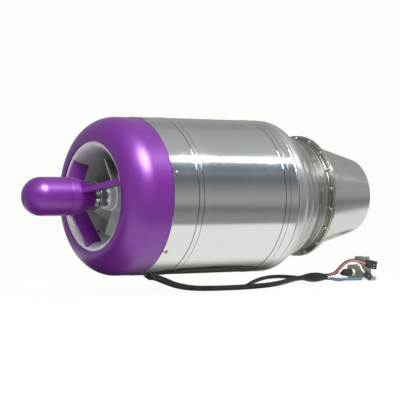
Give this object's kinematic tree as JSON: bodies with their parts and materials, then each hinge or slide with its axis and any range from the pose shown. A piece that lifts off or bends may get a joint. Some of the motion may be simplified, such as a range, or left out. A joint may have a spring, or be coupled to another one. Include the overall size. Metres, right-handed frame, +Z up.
{
  "type": "turbojet engine",
  "caption": "Small turbojet with a round intake cowl, a starter pod on struts, a beaded can, a spun rear end, a bolted exhaust nozzle and a cable harness.",
  "frame": {"origin": "middle of the clean stretch of can between the two raised beads, on the engine axis, where a mounting band clamps", "axes": "+X along the engine axis towards the exhaust, +Z up with the harness below, +Y to the side away from the viewer"},
  "size_m": [0.3834, 0.1304, 0.1449],
  "materials": {
    "purple_anodised": "satin purple anodising",
    "motor_steel": "ground steel",
    "black_plastic": "moulded black plastic",
    "magnet": "sintered magnet",
    "copper": "wound copper on laminations",
    "rubber": "matt black rubber",
    "cast_aluminium": "turned aluminium",
    "wheel_aluminium": "bright cast aluminium",
    "nut_aluminium": "turned aluminium",
    "circuit_board": "green board",
    "polished_can": "lathe-brushed and polished",
    "heated_steel": "spun steel, browned by heat towards the flange",
    "nozzle_steel": "brushed sheet",
    "dark_steel": "black-oxide screws",
    "bright_steel": "ground steel",
    "turbine_alloy": "cast nickel alloy",
    "chamber_steel": "heat-tinted sheet",
    "cable_sheath": "black braided sleeve",
    "shrink_sleeve": "black heat-shrunk sleeve",
    "lead_red": "ribbon of red, brown and pink wires",
    "wire_red": "red insulated wire",
    "tube_blue": "soft blue tube",
    "connector_white": "white sleeve and grey fitting",
    "lead_black": "black insulated lead",
    "wire_white": "white insulated wire",
    "module_metal": "bead-blasted grey metal"
  },
  "bodies": {
    "engine": {"nose_cap": "purple_anodised", "starter_housing": "purple_anodised", "motor_can": "motor_steel", "motor_end_cap": "black_plastic", "motor_magnets": "magnet", "intake_cowl": "purple_anodised", "compressor_cover": "cast_aluminium", "strut_screws": "dark_steel", "controller_board": "circuit_board", "fuel_pump": "cast_aluminium", "fuel_valves": "black_plastic", "speed_sensor": "black_plastic", "outer_races": "bright_steel", "preload_spring": "bright_steel", "shaft_tunnel": "cast_aluminium", "diffuser": "cast_aluminium", "can": "polished_can", "can_screws": "dark_steel", "rear_dome": "polished_can", "exhaust_neck": "heated_steel", "flange_screws": "dark_steel", "flange_nuts": "bright_steel", "exhaust_nozzle": "nozzle_steel", "tail_cone": "nozzle_steel", "chamber_outer": "chamber_steel", "chamber_inner": "chamber_steel", "chamber_front": "chamber_steel", "vaporisers": "chamber_steel", "fuel_manifold": "bright_steel", "igniter": "bright_steel", "guide_vane_ring": "turbine_alloy", "temperature_probe": "bright_steel", "harness_gland": "rubber", "cable_a": "cable_sheath", "cable_b": "cable_sheath", "cable_sleeve": "shrink_sleeve", "servo_lead": "lead_red", "servo_plug": "black_plastic", "blue_tube": "tube_blue", "tube_plug": "connector_white", "power_lead": "lead_black", "power_boot": "rubber", "sensor_wire": "wire_white", "sensor_plug": "black_plastic", "red_wire": "wire_red", "wire_module": "module_metal"},
    "rotor": {"compressor_nut": "nut_aluminium", "compressor_wheel": "wheel_aluminium", "rotor_shaft": "bright_steel", "front_spacer": "bright_steel", "inner_races": "bright_steel", "turbine_wheel": "turbine_alloy", "turbine_nut": "bright_steel"},
    "front_cage": {"front_balls": "bright_steel"},
    "rear_cage": {"rear_balls": "bright_steel"},
    "starter_rotor": {"armature": "copper", "motor_shaft": "motor_steel", "clutch_spring": "motor_steel"},
    "starter_clutch": {"clutch": "motor_steel", "clutch_ring": "rubber"}
  },
  "joints": [
    {"name": "rotor_spin", "type": "hinge", "parent": "engine", "child": "rotor", "pos_m": [0, 0, 0], "axis": [1, 0, 0], "continuous": true},
    {"name": "front_cage_spin", "type": "hinge", "parent": "engine", "child": "front_cage", "pos_m": [0, 0, 0], "axis": [1, 0, 0], "continuous": true},
    {"name": "rear_cage_spin", "type": "hinge", "parent": "engine", "child": "rear_cage", "pos_m": [0, 0, 0], "axis": [1, 0, 0], "continuous": true},
    {"name": "starter_spin", "type": "hinge", "parent": "engine", "child": "starter_rotor", "pos_m": [0, 0, 0], "axis": [1, 0, 0], "continuous": true},
    {"name": "clutch_slide", "type": "slide", "parent": "starter_rotor", "child": "starter_clutch", "axis": [1, 0, 0], "range_m": [0, 0.005], "deforming": ["clutch_spring"]}
  ],
  "couplings": [
    {"joint": "front_cage_spin", "follows": "rotor_spin", "ratio": 0.4},
    {"joint": "rear_cage_spin", "follows": "rotor_spin", "ratio": 0.4}
  ]
}
